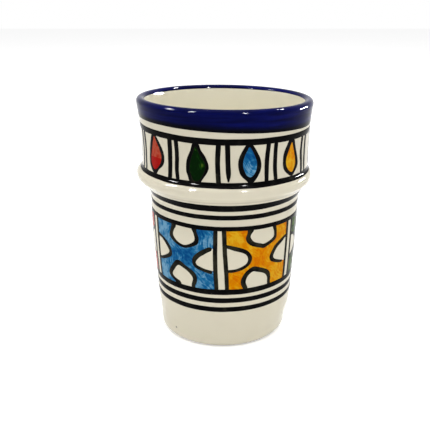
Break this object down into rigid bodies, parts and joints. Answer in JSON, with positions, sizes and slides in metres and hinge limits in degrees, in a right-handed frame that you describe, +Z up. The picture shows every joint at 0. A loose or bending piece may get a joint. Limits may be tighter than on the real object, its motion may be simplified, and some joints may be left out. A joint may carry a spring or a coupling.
{
  "type": "painted earthenware cup",
  "caption": "Handleless thrown earthenware drinking cup with a rolled belt, white glaze, a cobalt lip and brushed bands, drops and cross panels.",
  "frame": {"origin": "centre of the foot, on the surface that the cup stands on", "axes": "+Z up along the cup's own axis, -Y towards the front that the picture shows"},
  "size_m": [0.0842, 0.0842, 0.1167],
  "materials": {
    "clay": "bare fired clay",
    "white_glaze": "gloss",
    "cobalt_glaze": "gloss",
    "black_paint": "gloss",
    "red_paint": "gloss",
    "green_paint": "gloss",
    "blue_paint": "gloss",
    "yellow_paint": "gloss"
  },
  "bodies": {
    "root": {"clay_body": "clay", "liner_glaze": "white_glaze", "ground_glaze": "white_glaze", "rim_glaze": "cobalt_glaze", "frieze_top_band": "black_paint", "frieze_bottom_band": "black_paint", "frieze_strokes": "black_paint", "drop_outlines": "black_paint", "red_drops": "red_paint", "green_drops": "green_paint", "blue_drops": "blue_paint", "yellow_drops": "yellow_paint", "neck_line_upper": "black_paint", "neck_line_lower": "black_paint", "panel_top_band": "black_paint", "panel_bottom_band": "black_paint", "panel_dividers": "black_paint", "panel_outlines": "black_paint", "blue_panels": "blue_paint", "orange_panels": "yellow_paint", "green_panels": "green_paint", "red_panels": "red_paint", "base_line_upper": "black_paint", "base_line_lower": "black_paint"}
  },
  "joints": []
}
